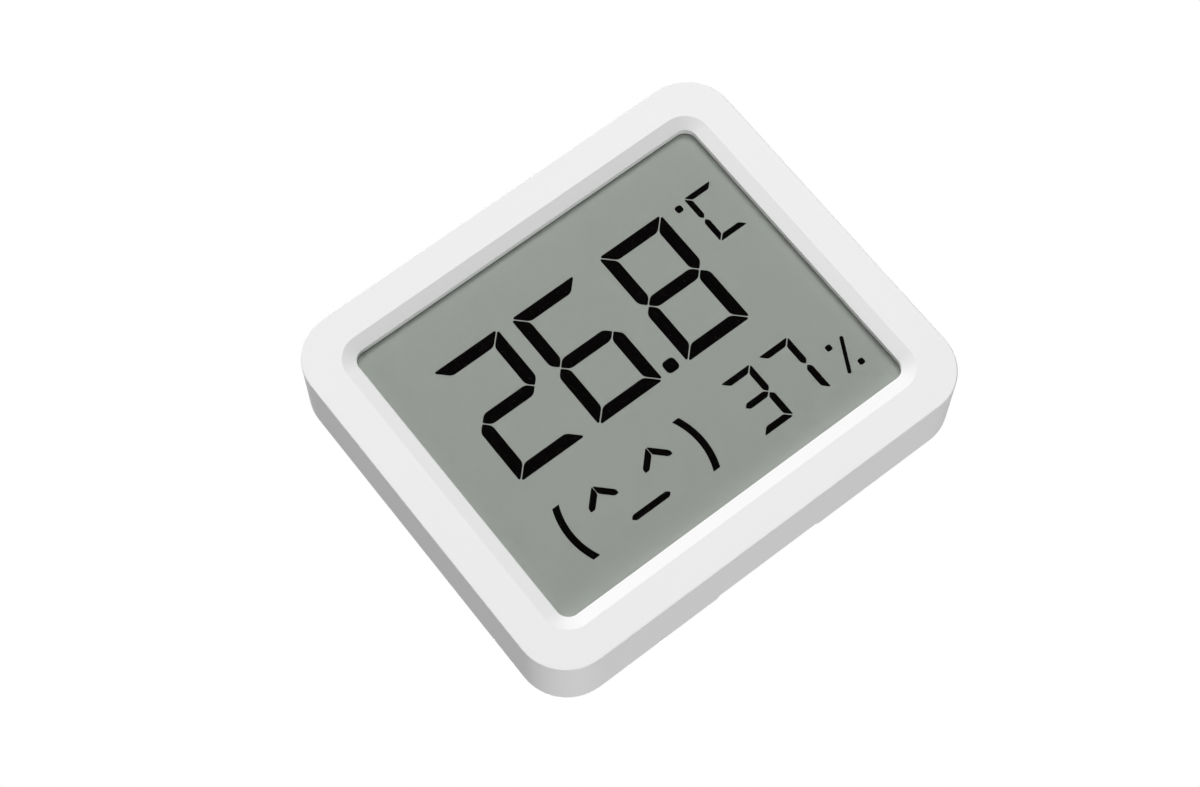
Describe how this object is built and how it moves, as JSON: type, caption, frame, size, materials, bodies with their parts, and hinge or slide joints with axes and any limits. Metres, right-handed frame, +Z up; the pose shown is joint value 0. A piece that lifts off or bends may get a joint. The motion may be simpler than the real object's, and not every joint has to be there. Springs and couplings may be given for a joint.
{
  "type": "temperature humidity sensor",
  "caption": "Slim table-top temperature and humidity sensor: rounded white case with a bevelled window over a reflective segment display, rear cover, fold-out stand and pairing button.",
  "frame": {"origin": "middle of the bottom edge, at half the depth, where the case stands", "axes": "+Z up, display facing -Y, +X to the right of someone who reads the display"},
  "size_m": [0.06, 0.0104, 0.0512],
  "materials": {
    "case_white": "fine satin moulding",
    "black_foam": "matt foam",
    "display_film": "fine anti-glare grain",
    "display_glass": "clear",
    "reflector_film": "matt grey-green",
    "holder_plastic": "satin",
    "elastomer": "matt",
    "board_laminate": "solder mask",
    "steel": "bright",
    "chip_black": "matt epoxy",
    "ceramic_white": "fired ceramic",
    "ceramic_tan": "fired ceramic",
    "black_plastic": "satin",
    "cell_steel": "bright plated can",
    "spring_metal": "nickel plated",
    "button_grey": "satin"
  },
  "bodies": {
    "case": {"front_housing": "case_white", "display_gasket": "black_foam", "front_polariser": "display_film", "front_glass": "display_glass", "rear_glass": "display_glass", "display_reflector": "reflector_film", "display_holder": "holder_plastic", "connector_strips": "elastomer", "main_board": "board_laminate", "board_screws": "steel", "radio_chip": "chip_black", "driver_chip": "chip_black", "crystals": "steel", "chip_antenna": "ceramic_white", "capacitors": "ceramic_tan", "resistors": "chip_black", "humidity_sensor": "chip_black", "sensor_seal": "black_foam", "pair_switch": "black_plastic", "cell_holder": "black_plastic", "coin_cell": "cell_steel", "positive_clips": "spring_metal", "negative_contact": "spring_metal"},
    "rear_cover": {"rear_cover": "case_white"},
    "stand": {"stand": "case_white"},
    "pair_button": {"pair_button": "button_grey"},
    "switch_plunger": {"switch_plunger": "holder_plastic"}
  },
  "joints": [
    {"name": "rear_cover_slide", "type": "slide", "parent": "case", "child": "rear_cover", "axis": [0, 1, 0], "range_m": [0, 0.015]},
    {"name": "stand_hinge", "type": "hinge", "parent": "rear_cover", "child": "stand", "pos_m": [0, 0.0043, 0.02832], "axis": [1, 0, 0], "range_deg": [0, 45]},
    {"name": "pair_button_press", "type": "slide", "parent": "rear_cover", "child": "pair_button", "axis": [0, -1, 0], "range_m": [0, 0.00025], "stiffness_N_per_m": 500},
    {"name": "switch_plunger_press", "type": "slide", "parent": "case", "child": "switch_plunger", "axis": [0, -1, 0], "range_m": [0, 0.00025]}
  ],
  "couplings": [
    {"joint": "switch_plunger_press", "follows": "pair_button_press", "ratio": 1}
  ]
}
